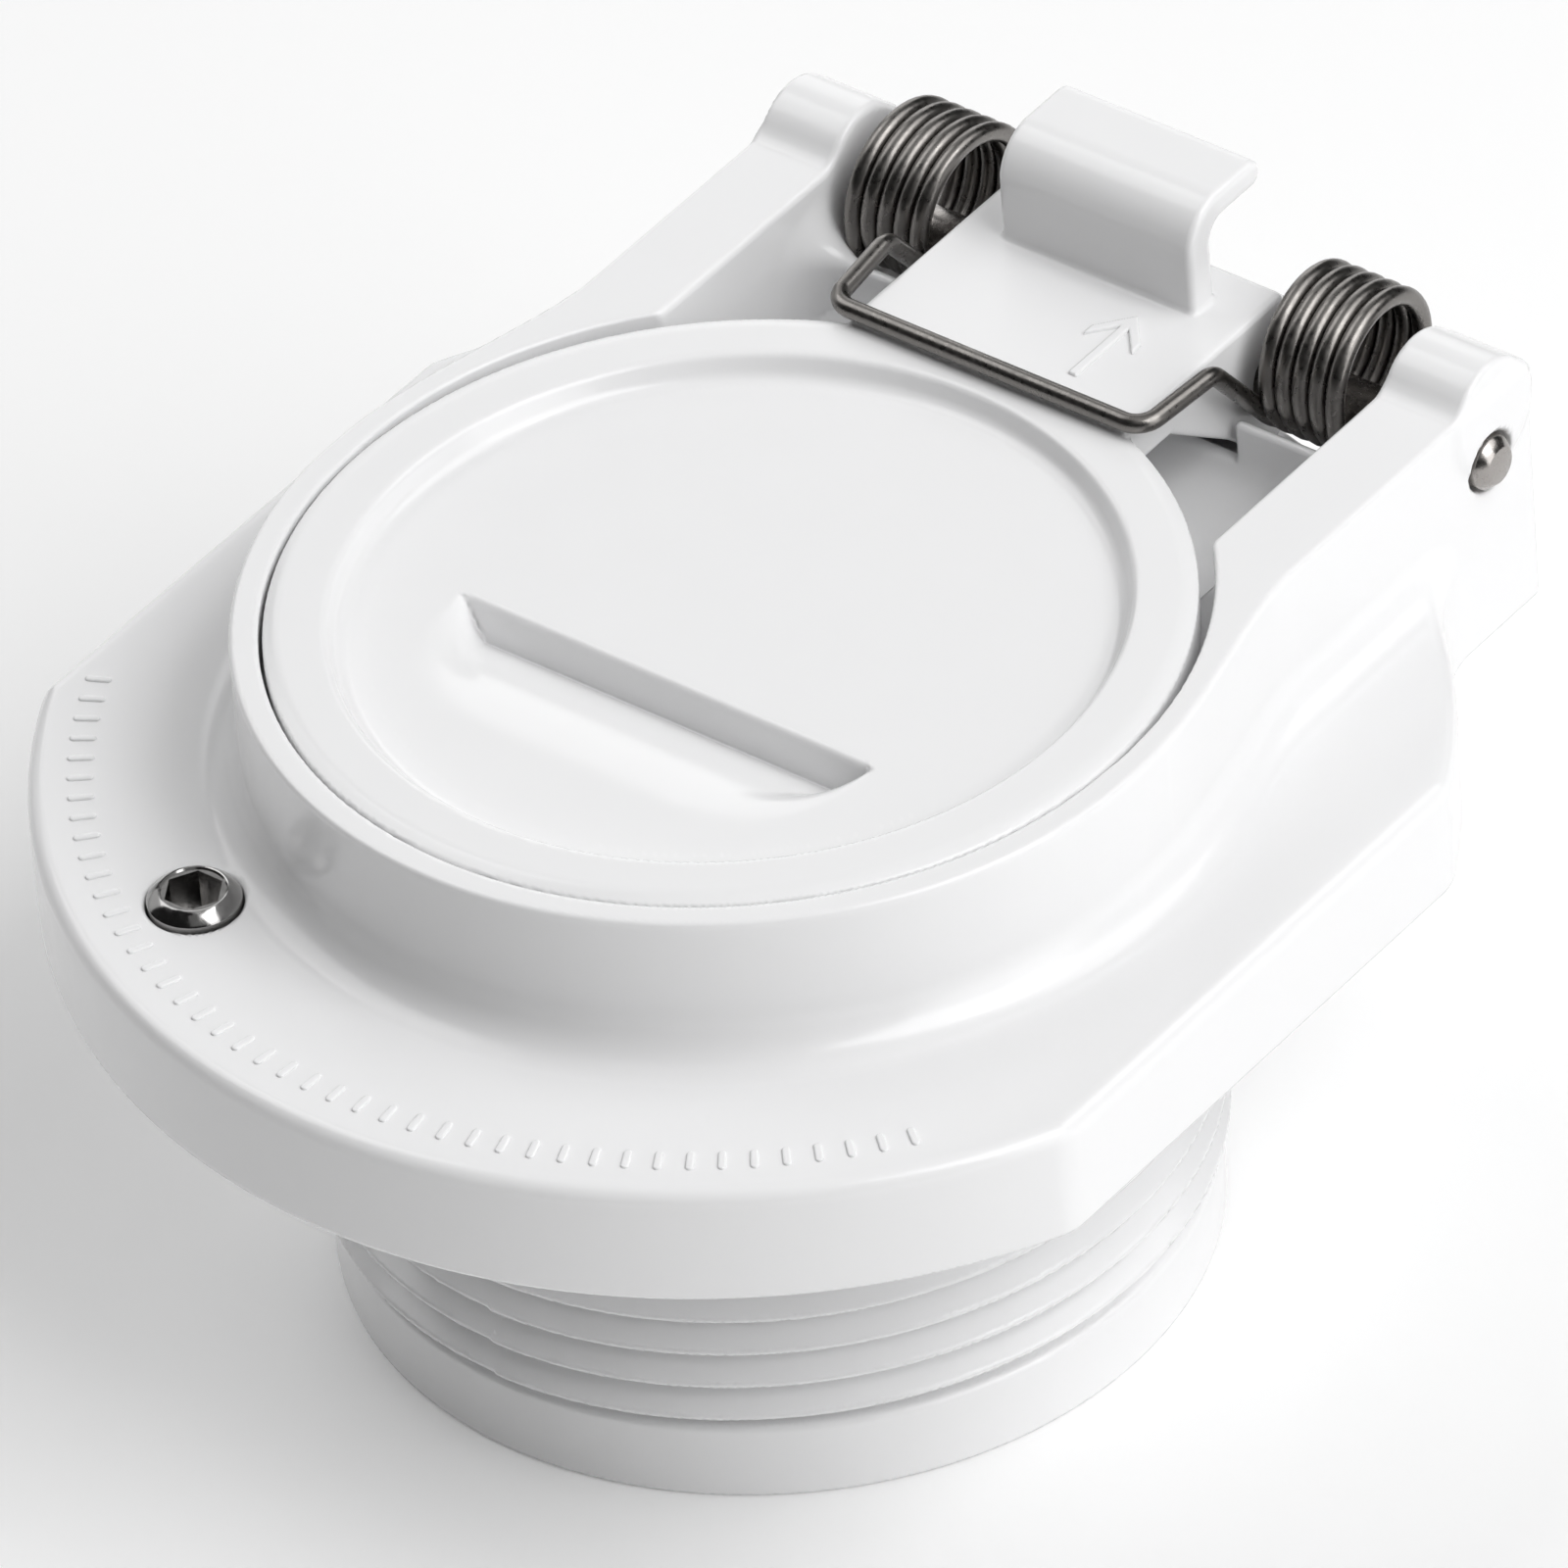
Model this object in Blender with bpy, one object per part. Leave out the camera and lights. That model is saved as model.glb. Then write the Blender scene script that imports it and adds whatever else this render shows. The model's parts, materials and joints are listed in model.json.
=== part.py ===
"""Spring-flap threaded wall fitting: a moulded housing with a pipe thread, a sprung flap on a hinge
pin, one double torsion spring and a hex-socket set screw.

Frame: +Z runs along the thread axis and out of the wall, +Y towards the hinge, +X along the hinge.
The origin is on the thread axis, in the plane of the flange's underside. Lengths are in metres.
"""

from math import acos, asin, atan2, cos, hypot, pi, radians, sin

import bmesh
import bpy
from mathutils import Matrix, Vector

MM = 0.001
GAP = 0.3 * MM  # running gap kept between neighbouring solids
SEGMENTS = 72  # sides of a large turned shape

# Threaded tube, 1 1/2 inch male pipe thread
THREAD_RADIUS = 24.13 * MM
THREAD_ROOT_RADIUS = 23.0 * MM
THREAD_PITCH = 25.4 / 11.5 * MM
THREAD_TURNS = 9
NECK_RADIUS = 24.3 * MM  # plain neck under the flange, wider than the thread
NECK_LENGTH = 0.6 * MM
COLLAR_RADIUS = 23.6 * MM
TUBE_LENGTH = 25.0 * MM
BORE_RADIUS = 19.5 * MM

# Flange and raised ring
FLANGE_RADIUS = 37.2 * MM
FLANGE_THICKNESS = 7.0 * MM
FLANGE_EDGE = 0.9 * MM
FLAT_X = 33.4 * MM  # half the distance between the two wrench flats
RING_RADIUS = 26.0 * MM
RING_TOP = 15.6 * MM
RING_INNER_RADIUS = 24.45 * MM
RING_FILLET = 2.5 * MM
REAR_SWEEP_RADIUS = 24.5 * MM  # widens the ring's inside towards the hinge
REAR_SWEEP_Y = 1.0 * MM
SEAT_Z = 12.7 * MM
SEAT_TUBE_RADIUS = 22.6 * MM

# Hinge arms
ARM_INNER_X = 17.9 * MM
ARM_OUTER_X = 23.0 * MM
ARM_FRONT_Y = 8.0 * MM
ARM_REAR_Y = 38.7 * MM
BOSS_RADIUS = 3.2 * MM
BOSS_Z = 14.2 * MM
STOP_WALL_INNER_X = 9.6 * MM
STOP_WALL_REAR_Y = 31.2 * MM
STOP_WALL_THICKNESS = 1.2 * MM
STOP_WALL_TOP = 10.9 * MM

# Hinge axis and pin
HINGE_Y = 34.95 * MM
HINGE_Z = 11.4 * MM
PIN_RADIUS = 1.55 * MM
PIN_CHAMFER = 0.5 * MM
PIN_HALF_LENGTH = ARM_OUTER_X + 0.7 * MM
PIN_HOLE_RADIUS = PIN_RADIUS + GAP

# Flap
FLAP_RADIUS = 24.0 * MM
FLAP_TOP = 15.7 * MM
FLAP_BOTTOM = SEAT_Z + GAP
FLAP_EDGE = 0.3 * MM
RECESS_RADIUS = 20.6 * MM
RECESS_FLOOR = 14.4 * MM
RECESS_SLOPE = 0.5 * MM
SCOOP_RADIUS = 14.5 * MM
SCOOP_CENTRE_Y = 0.3 * MM
SCOOP_WALL_Y = -5.5 * MM
SCOOP_FLOOR = 11.8 * MM
SCOOP_SKIN = 1.4 * MM

# Flap's hinge plate, knuckle and thumb lever
PLATE_HALF_WIDTH = 9.1 * MM
PLATE_FRONT_Y = 22.2 * MM
PLATE_ROOT_Y = 20.9 * MM
PLATE_TOP = 16.0 * MM
PLATE_BOTTOM = 13.2 * MM
WEB_FRONT_Y = 26.0 * MM
PLATE_REAR_Y = 36.2 * MM
KNUCKLE_RADIUS = 4.0 * MM
LEVER_HALF_WIDTH = 6.33 * MM
LEVER_FRONT_Y = 32.0 * MM
LEVER_REAR_Y = 38.4 * MM
LEVER_TOP = 22.4 * MM
LEVER_WALL = 1.9 * MM
LEVER_HOOK = 1.6 * MM
LEVER_BEND = 2.8 * MM

# Spring
WIRE_RADIUS = 0.53 * MM
COIL_RADIUS = 4.15 * MM  # to the middle of the wire
COIL_Y = 36.35 * MM  # the coils are pressed up and back against the pin
COIL_Z = 12.75 * MM
COIL_START_X = {"left": 11.5 * MM, "right": 11.0 * MM}
COIL_TURNS = {"left": 5, "right": 4}
COIL_PITCH = 1.08 * MM
FIXED_LEG_Y = 31.95 * MM
FIXED_LEG_FOOT = 7.7 * MM
BAR_Y = 22.3 * MM
BAR_Z = PLATE_TOP + GAP + WIRE_RADIUS
BAR_HALF_WIDTH = 10.1 * MM
LEG_TOP = (10.65 * MM, 27.8 * MM, BAR_Z + 0.1 * MM)
LEG_END_X = {"left": 10.7 * MM, "right": 10.0 * MM}
WIRE_BEND = 1.3 * MM
WIRE_SIDES = 6

# Set screw
SCREW_X = -15.8 * MM
SCREW_Y = -25.85 * MM
SCREW_RADIUS = 2.5 * MM
SCREW_TOP = 7.8 * MM
SCREW_LENGTH = 7.4 * MM
SCREW_CHAMFER = 0.45 * MM
SOCKET_ACROSS_FLATS = 2.8 * MM
SOCKET_DEPTH = 2.5 * MM

REACH = 60 * MM  # how far a cutter runs past the part


def clear_scene():
    for obj in list(bpy.data.objects):
        bpy.data.objects.remove(obj, do_unlink=True)


def material(name, colour, roughness, metallic):
    made = bpy.data.materials.new(name)
    made.use_nodes = True
    shader = made.node_tree.nodes["Principled BSDF"]
    shader.inputs["Base Color"].default_value = (*colour, 1.0)
    shader.inputs["Roughness"].default_value = roughness
    shader.inputs["Metallic"].default_value = metallic
    return made


def new_object(name, builder):
    """Turns a bmesh into a scene object with outward faces."""
    bmesh.ops.recalc_face_normals(builder, faces=builder.faces)
    mesh = bpy.data.meshes.new(name)
    builder.to_mesh(mesh)
    builder.free()
    made = bpy.data.objects.new(name, mesh)
    bpy.context.scene.collection.objects.link(made)
    return made


def turned(name, profile, segments=SEGMENTS):
    """A solid of revolution about Z from an open (radius, height) profile that starts and ends on the axis."""
    builder = bmesh.new()
    rings = []
    for radius, height in profile:
        if radius == 0:
            rings.append([builder.verts.new((0, 0, height))])
            continue
        angles = [2 * pi * step / segments for step in range(segments)]
        rings.append([builder.verts.new((radius * cos(a), radius * sin(a), height)) for a in angles])
    for lower, upper in zip(rings, rings[1:]):
        for step in range(segments):
            following = (step + 1) % segments
            corners = [lower[step % len(lower)], lower[following % len(lower)]]
            corners += [upper[following % len(upper)], upper[step % len(upper)]]
            distinct = list(dict.fromkeys(corners))
            builder.faces.new(distinct)
    return new_object(name, builder)


def prism(name, outline, low_x, high_x):
    """A (y, z) outline drawn out along X."""
    builder = bmesh.new()
    near = [builder.verts.new((low_x, y, z)) for y, z in outline]
    far = [builder.verts.new((high_x, y, z)) for y, z in outline]
    builder.faces.new(near)
    builder.faces.new(list(reversed(far)))
    count = len(outline)
    for step in range(count):
        following = (step + 1) % count
        builder.faces.new((near[step], near[following], far[following], far[step]))
    return new_object(name, builder)


def box(name, low, high):
    outline = [(low[1], low[2]), (high[1], low[2]), (high[1], high[2]), (low[1], high[2])]
    return prism(name, outline, low[0], high[0])


def arc(centre, radius, first, last, steps):
    """(y, z) points on an arc, angles in degrees from +Y towards +Z."""
    angles = [radians(first + (last - first) * step / steps) for step in range(steps + 1)]
    return [(centre[0] + radius * cos(a), centre[1] + radius * sin(a)) for a in angles]


def cross_rod(name, y, z, radius, low_x, high_x, sides=32):
    return prism(name, arc((y, z), radius, 0, 360 - 360 / sides, sides - 1), low_x, high_x)


def combine(target, helper, operation):
    """Adds an exact Boolean and hides the helper that it uses."""
    helper.hide_render = True
    helper.display_type = "WIRE"
    step = target.modifiers.new(operation.title() + " " + helper.name, "BOOLEAN")
    step.object = helper
    step.operation = operation
    step.solver = "EXACT"


def tube_along(name, points, radius, sides):
    """A closed round wire through a list of points, with its section carried along without twist."""
    builder = bmesh.new()
    path = [Vector(point) for point in points]
    tangent = (path[1] - path[0]).normalized()
    normal = tangent.orthogonal().normalized()
    sections = []
    for index, point in enumerate(path):
        ahead = path[min(index + 1, len(path) - 1)]
        behind = path[max(index - 1, 0)]
        following = (ahead - behind).normalized()
        normal.rotate(tangent.rotation_difference(following))
        tangent = following
        side = tangent.cross(normal)
        angles = [2 * pi * step / sides for step in range(sides)]
        ring = [point + radius * (cos(a) * normal + sin(a) * side) for a in angles]
        sections.append([builder.verts.new(place) for place in ring])
    for first, second in zip(sections, sections[1:]):
        for step in range(sides):
            following = (step + 1) % sides
            builder.faces.new((first[step], first[following], second[following], second[step]))
    builder.faces.new(list(reversed(sections[0])))
    builder.faces.new(sections[-1])
    return new_object(name, builder)


def rounded_path(corners, bend, steps):
    """The corner points joined by straight runs, with each inner corner rounded to the given radius."""
    points = [Vector(corners[0])]
    for before, corner, after in zip(corners, corners[1:], corners[2:]):
        corner = Vector(corner)
        towards = (Vector(before) - corner).normalized()
        away = (Vector(after) - corner).normalized()
        half_angle = acos(max(-1.0, min(1.0, towards.dot(away)))) / 2
        setback = bend * cos(half_angle) / sin(half_angle)
        centre = corner + (towards + away).normalized() * (bend / sin(half_angle))
        first = corner + towards * setback - centre
        last = corner + away * setback - centre
        sweep = first.angle(last)
        for step in range(steps + 1):
            share = step / steps
            weights = (sin((1 - share) * sweep) / sin(sweep), sin(share * sweep) / sin(sweep))
            points.append(centre + first * weights[0] + last * weights[1])
    points.append(Vector(corners[-1]))
    return points


def finish(obj, made_of, smooth_below=30):
    obj.data.materials.append(made_of)
    obj.data.shade_smooth()
    obj.data.set_sharp_from_angle(angle=radians(smooth_below))
    return obj


def thread_profile():
    """Crest and root of each turn, from the flange down to the plain collar."""
    profile = [(NECK_RADIUS, 0), (NECK_RADIUS, -NECK_LENGTH)]
    first = -1.2 * MM
    for turn in range(THREAD_TURNS):
        top = first - turn * THREAD_PITCH
        profile.append((THREAD_ROOT_RADIUS, top))
        profile.append((THREAD_RADIUS, top - 0.5 * THREAD_PITCH))
    bottom = first - THREAD_TURNS * THREAD_PITCH
    profile.append((THREAD_ROOT_RADIUS, bottom))
    profile.append((COLLAR_RADIUS, bottom - 0.4 * MM))
    return profile


def housing_outer():
    """The turned outside of the housing, solid to its axis."""
    edge_arc = arc((FLANGE_RADIUS - FLANGE_EDGE, FLANGE_THICKNESS - FLANGE_EDGE), FLANGE_EDGE, 90, 0, 3)
    fillet_centre = (RING_RADIUS + RING_FILLET, FLANGE_THICKNESS + RING_FILLET)
    profile = [(0, RING_TOP), (RING_RADIUS - 0.3 * MM, RING_TOP), (RING_RADIUS, RING_TOP - 0.3 * MM)]
    profile += arc(fillet_centre, RING_FILLET, 180, 270, 4)
    profile += edge_arc
    profile += [(FLANGE_RADIUS, 0.4 * MM), (FLANGE_RADIUS - 0.4 * MM, 0)]
    profile += thread_profile()
    profile += [(COLLAR_RADIUS, -TUBE_LENGTH + 0.4 * MM), (COLLAR_RADIUS - 0.4 * MM, -TUBE_LENGTH)]
    profile.append((0, -TUBE_LENGTH))
    return turned("housing", profile)


def add_arms(housing):
    for side in (-1, 1):
        low_x, high_x = sorted((side * ARM_INNER_X, side * ARM_OUTER_X))
        arm = box("arm_block", (low_x, ARM_FRONT_Y, 0), (high_x, ARM_REAR_Y, BOSS_Z))
        combine(housing, arm, "UNION")
        shoulder = box(
            "arm_shoulder",
            (low_x, ARM_FRONT_Y, BOSS_Z - MM),
            (high_x, ARM_REAR_Y - BOSS_RADIUS, RING_TOP),
        )
        combine(housing, shoulder, "UNION")
        boss = cross_rod("arm_boss", ARM_REAR_Y - BOSS_RADIUS, BOSS_Z, BOSS_RADIUS, low_x, high_x)
        combine(housing, boss, "UNION")


def cut_inside(housing):
    """Takes out the hose bore, the flap's seat and the pocket between the arms."""
    inside = turned(
        "inside_cutter",
        [
            (0, RING_TOP + 5 * MM),
            (RING_INNER_RADIUS, RING_TOP + 5 * MM),
            (RING_INNER_RADIUS, SEAT_Z),
            (BORE_RADIUS, SEAT_Z),
            (BORE_RADIUS, -TUBE_LENGTH - 5 * MM),
            (0, -TUBE_LENGTH - 5 * MM),
        ],
    )
    pocket = box(
        "pocket_cutter",
        (-ARM_INNER_X, 15.5 * MM, FLANGE_THICKNESS),
        (ARM_INNER_X, REACH, RING_TOP + 8 * MM),
    )
    kept_tube = turned(
        "seat_tube",
        [(0, SEAT_Z), (SEAT_TUBE_RADIUS, SEAT_Z), (SEAT_TUBE_RADIUS, 0), (0, 0)],
    )
    combine(pocket, kept_tube, "DIFFERENCE")
    sweep = turned(
        "rear_sweep",
        [(0, REACH), (REAR_SWEEP_RADIUS, REACH), (REAR_SWEEP_RADIUS, SEAT_Z), (0, SEAT_Z)],
    )
    sweep.location = (0, REAR_SWEEP_Y, 0)
    combine(housing, sweep, "DIFFERENCE")
    combine(housing, pocket, "DIFFERENCE")
    combine(housing, inside, "DIFFERENCE")


def add_stop_walls(housing):
    """The two low walls that the spring's fixed legs press against."""
    for side in (-1, 1):
        low_x, high_x = sorted((side * STOP_WALL_INNER_X, side * (ARM_INNER_X + MM)))
        front_y = STOP_WALL_REAR_Y - STOP_WALL_THICKNESS
        wall = box(
            "stop_wall",
            (low_x, front_y, FLANGE_THICKNESS - MM),
            (high_x, STOP_WALL_REAR_Y, STOP_WALL_TOP),
        )
        combine(housing, wall, "UNION")


def make_housing(plastic):
    housing = housing_outer()
    add_arms(housing)
    cut_inside(housing)
    add_stop_walls(housing)
    for side in (-1, 1):
        low_x, high_x = sorted((side * FLAT_X, side * REACH))
        flat = box("flat_cutter", (low_x, -REACH, -MM), (high_x, REACH, FLANGE_THICKNESS + MM))
        combine(housing, flat, "DIFFERENCE")
    pin_hole = cross_rod("pin_hole", HINGE_Y, HINGE_Z, PIN_HOLE_RADIUS, -REACH, REACH)
    combine(housing, pin_hole, "DIFFERENCE")
    screw_hole = turned(
        "screw_hole",
        [(0, REACH), (SCREW_RADIUS + GAP, REACH), (SCREW_RADIUS + GAP, -MM), (0, -MM)],
        24,
    )
    screw_hole.location = (SCREW_X, SCREW_Y, 0)
    combine(housing, screw_hole, "DIFFERENCE")
    return finish(housing, plastic)


def scoop_solid(name, radius, wall_y, floor_z, top_z):
    """The D-shaped finger scoop: a disc's segment in front of a straight wall, with a ramped floor."""
    front_y = SCOOP_CENTRE_Y - radius - MM
    slope = (RECESS_FLOOR - SCOOP_FLOOR) / (SCOOP_WALL_Y - SCOOP_CENTRE_Y + SCOOP_RADIUS)
    ramp_z = floor_z + slope * (wall_y - front_y)
    outline = [(wall_y, floor_z), (wall_y, top_z)]
    if ramp_z < top_z:
        outline += [(front_y, top_z), (front_y, ramp_z)]
    else:
        outline.append((wall_y - (top_z - floor_z) / slope, top_z))
    scoop = prism(name, outline, -radius - MM, radius + MM)
    disc = turned(name + "_disc", [(0, REACH), (radius, REACH), (radius, 0), (0, 0)], 48)
    disc.location = (0, SCOOP_CENTRE_Y, 0)
    combine(scoop, disc, "INTERSECT")
    return scoop


def hinge_block():
    """Side outline of the hinge plate with its web and knuckle."""
    outline = [
        (PLATE_ROOT_Y, PLATE_BOTTOM),
        (PLATE_ROOT_Y, FLAP_TOP - 0.2 * MM),
        (PLATE_FRONT_Y, FLAP_TOP - 0.2 * MM),
        (PLATE_FRONT_Y, PLATE_TOP),
        (PLATE_REAR_Y, PLATE_TOP),
    ]
    outline += arc((HINGE_Y, HINGE_Z), KNUCKLE_RADIUS, 45, -135, 14)
    outline.append((WEB_FRONT_Y, PLATE_BOTTOM))
    return prism("hinge_block", outline, -PLATE_HALF_WIDTH, PLATE_HALF_WIDTH)


def thumb_lever():
    """A wall that rises from the plate and hooks back over the hinge."""
    outer_centre = (LEVER_FRONT_Y + LEVER_BEND, LEVER_TOP - LEVER_BEND)
    tip_radius = LEVER_HOOK / 2
    tip_centre = (LEVER_REAR_Y - tip_radius, LEVER_TOP - tip_radius)
    inner_bend = 1.2 * MM
    inner_y = LEVER_FRONT_Y + LEVER_WALL
    inner_centre = (inner_y + inner_bend, LEVER_TOP - LEVER_HOOK - inner_bend)
    outline = [(LEVER_FRONT_Y, PLATE_TOP - MM)]
    outline += arc(outer_centre, LEVER_BEND, 180, 90, 6)
    outline += arc(tip_centre, tip_radius, 90, -90, 6)
    outline += arc(inner_centre, inner_bend, 90, 180, 4)
    outline.append((inner_y, PLATE_TOP - MM))
    return prism("thumb_lever", outline, -LEVER_HALF_WIDTH, LEVER_HALF_WIDTH)


def make_flap(plastic):
    profile = [
        (0, RECESS_FLOOR),
        (RECESS_RADIUS - RECESS_SLOPE, RECESS_FLOOR),
        (RECESS_RADIUS, FLAP_TOP),
        (FLAP_RADIUS - FLAP_EDGE, FLAP_TOP),
        (FLAP_RADIUS, FLAP_TOP - FLAP_EDGE),
        (FLAP_RADIUS, FLAP_BOTTOM),
        (0, FLAP_BOTTOM),
    ]
    flap = turned("flap", profile)
    under = scoop_solid(
        "scoop_skin",
        SCOOP_RADIUS + SCOOP_SKIN,
        SCOOP_WALL_Y + SCOOP_SKIN,
        SCOOP_FLOOR - SCOOP_SKIN,
        FLAP_BOTTOM + 0.5 * MM,
    )
    combine(flap, under, "UNION")
    hollow = scoop_solid("scoop", SCOOP_RADIUS, SCOOP_WALL_Y, SCOOP_FLOOR, FLAP_TOP + MM)
    combine(flap, hollow, "DIFFERENCE")
    combine(flap, hinge_block(), "UNION")
    combine(flap, thumb_lever(), "UNION")
    knuckle_hole = cross_rod("knuckle_hole", HINGE_Y, HINGE_Z, PIN_HOLE_RADIUS, -REACH, REACH)
    combine(flap, knuckle_hole, "DIFFERENCE")
    return finish(flap, plastic)


def make_pin(steel):
    half = PIN_HALF_LENGTH
    profile = [
        (0, half),
        (PIN_RADIUS - PIN_CHAMFER, half),
        (PIN_RADIUS, half - PIN_CHAMFER),
        (PIN_RADIUS, -half + PIN_CHAMFER),
        (PIN_RADIUS - PIN_CHAMFER, -half),
        (0, -half),
    ]
    pin = turned("hinge_pin", profile, 24)
    pin.data.transform(Matrix.Rotation(pi / 2, 4, "Y"))
    pin.location = (0, HINGE_Y, HINGE_Z)
    return finish(pin, steel)


def loop_leg_direction():
    """Where the loop's leg meets the coil: the lower tangent from the leg's top to the coil's middle circle."""
    to_centre = (COIL_Y - LEG_TOP[1], COIL_Z - LEG_TOP[2])
    distance = hypot(*to_centre)
    angle = atan2(to_centre[1], to_centre[0]) - asin(COIL_RADIUS / distance)
    length = (distance**2 - COIL_RADIUS**2) ** 0.5
    return cos(angle), sin(angle), length


def make_loop(steel):
    """The bar over the flap with its two legs, ending just short of the coils."""
    run_y, run_z, length = loop_leg_direction()
    reach = length - 2 * WIRE_RADIUS
    foot = (LEG_TOP[1] + run_y * reach, LEG_TOP[2] + run_z * reach)
    corners = [
        (LEG_END_X["right"], *foot),
        LEG_TOP,
        (BAR_HALF_WIDTH, BAR_Y, BAR_Z),
        (-BAR_HALF_WIDTH, BAR_Y, BAR_Z),
        (-LEG_TOP[0], *LEG_TOP[1:]),
        (-LEG_END_X["left"], *foot),
    ]
    loop = tube_along("spring_loop", rounded_path(corners, WIRE_BEND, 5), WIRE_RADIUS, 8)
    return finish(loop, steel, 60)


def make_coil(steel, side):
    """One coil, wound from its inner end out to the fixed leg that stands against the stop wall."""
    run_y, run_z, _ = loop_leg_direction()
    turns = COIL_TURNS[side]
    first = atan2(run_z, run_y) + radians(270 + 4)  # 4 degrees leave a running gap to the loop's end
    last = radians(180 + 360 * turns)
    outward = -1 if side == "left" else 1
    steps = 20 * turns
    points = []
    for step in range(steps + 1):
        angle = first + (last - first) * step / steps
        x = COIL_START_X[side] + COIL_PITCH * (angle - first) / (2 * pi)
        points.append((outward * x, COIL_Y + COIL_RADIUS * cos(angle), COIL_Z + COIL_RADIUS * sin(angle)))
    end_x = points[-1][0]
    points.append((end_x, FIXED_LEG_Y, COIL_Z - 3 * MM))
    points.append((end_x, FIXED_LEG_Y, FIXED_LEG_FOOT))
    return finish(tube_along("spring_coil_" + side, points, WIRE_RADIUS, WIRE_SIDES), steel, 70)


def make_set_screw(steel):
    profile = [
        (0, SCREW_TOP),
        (SCREW_RADIUS - SCREW_CHAMFER, SCREW_TOP),
        (SCREW_RADIUS, SCREW_TOP - SCREW_CHAMFER),
        (SCREW_RADIUS, SCREW_TOP - SCREW_LENGTH + SCREW_CHAMFER),
        (SCREW_RADIUS - SCREW_CHAMFER, SCREW_TOP - SCREW_LENGTH),
        (0, SCREW_TOP - SCREW_LENGTH),
    ]
    screw = turned("set_screw", profile, 24)
    corner_radius = SOCKET_ACROSS_FLATS / 2 / cos(pi / 6)
    socket_floor = SCREW_TOP - SOCKET_DEPTH
    socket = turned(
        "hex_socket",
        [(0, SCREW_TOP + MM), (corner_radius, SCREW_TOP + MM), (corner_radius, socket_floor), (0, socket_floor)],
        6,
    )
    combine(screw, socket, "DIFFERENCE")
    for piece in (screw, socket):
        piece.location = (SCREW_X, SCREW_Y, 0)
    return finish(screw, steel)


def main():
    clear_scene()
    plastic = material("white_plastic", (0.86, 0.86, 0.85), 0.3, 0.0)
    steel = material("stainless_steel", (0.52, 0.51, 0.5), 0.28, 1.0)
    make_housing(plastic)
    make_flap(plastic)
    make_pin(steel)
    make_loop(steel)
    make_coil(steel, "left")
    make_coil(steel, "right")
    make_set_screw(steel)


main()
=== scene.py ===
"""Finished look of the spring-flap wall fitting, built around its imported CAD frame.

The two mouldings are modelled as distance fields, in millimetres, so that every rib, boss and wall
meets its neighbour in a true moulded fillet; each field is then meshed and its points are moved
onto the exact surface. The steel pieces are swept and turned meshes.
"""

import json
from math import acos, asin, atan2, cos, hypot, pi, radians, sin

import bmesh
import bpy
import numpy as np
import openvdb
from mathutils import Matrix, Vector


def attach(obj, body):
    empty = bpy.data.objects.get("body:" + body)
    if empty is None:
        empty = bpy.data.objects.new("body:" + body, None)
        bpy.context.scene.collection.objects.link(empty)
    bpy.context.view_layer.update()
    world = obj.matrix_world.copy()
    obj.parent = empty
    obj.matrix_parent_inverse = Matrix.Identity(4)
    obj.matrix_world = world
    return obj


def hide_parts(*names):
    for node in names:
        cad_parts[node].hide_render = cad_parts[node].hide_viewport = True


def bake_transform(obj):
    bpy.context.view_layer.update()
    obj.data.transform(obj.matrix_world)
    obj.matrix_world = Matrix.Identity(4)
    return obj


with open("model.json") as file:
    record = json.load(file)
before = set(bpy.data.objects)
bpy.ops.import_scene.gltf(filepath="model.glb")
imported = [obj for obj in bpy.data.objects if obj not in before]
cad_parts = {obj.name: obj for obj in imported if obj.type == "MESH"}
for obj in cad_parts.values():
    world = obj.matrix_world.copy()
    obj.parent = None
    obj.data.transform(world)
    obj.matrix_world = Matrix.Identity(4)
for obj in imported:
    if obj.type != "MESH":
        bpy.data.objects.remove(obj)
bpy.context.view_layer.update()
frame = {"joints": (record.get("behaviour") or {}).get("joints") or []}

MM = 0.001

# ---------------------------------------------------------------- dimensions, in millimetres
THREAD_RADIUS = 24.13
THREAD_ROOT_RADIUS = 22.6
THREAD_PITCH = 25.4 / 11.5
THREAD_END = -20.9
MOULD_STEP = 0.12  # how far one half of the thread sits above the other, at the mould's joint
NECK_RADIUS = 24.2
NECK_LENGTH = 0.6
COLLAR_RADIUS = 23.6
TUBE_LENGTH = 25.0
BORE_RADIUS = 19.5

FLANGE_RADIUS = 37.2
FLANGE_TOP = 7.0
FLAT_X = 33.4
RING_RADIUS = 26.0
RING_TOP = 15.6
RING_INNER_RADIUS = 24.45
RING_FILLET = 2.5
SEAT_Z = 12.7
SEAT_TUBE_RADIUS = 22.6
REAR_SWEEP_RADIUS = 24.5
REAR_SWEEP_Y = 1.0

ARM_FRONT_Y = 6.0
ARM_INNER_X = 17.9
ARM_OUTER_X = 23.0
ARM_REAR_Y = 38.7
ARM_RING_FILLET = 3.0
BOSS_RADIUS = 3.2
BOSS_Z = 14.2
POCKET_FRONT_Y = 15.5
STOP_WALL_INNER_X = 9.6
STOP_WALL_REAR_Y = 31.2
STOP_WALL_THICKNESS = 0.6
STOP_WALL_TOP = 11.2
STOP_RIDGE_TOP = 8.6  # the low part under the hinge plate
STOP_WALL_FILLET = 3.4

HINGE = next(joint["pos_m"] for joint in frame["joints"] if joint["name"] == "flap_hinge")
HINGE_Y = HINGE[1] / MM
HINGE_Z = HINGE[2] / MM
PIN_RADIUS = 1.55
PIN_HOLE_RADIUS = 1.78
PIN_HALF_LENGTH = 23.7

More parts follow.
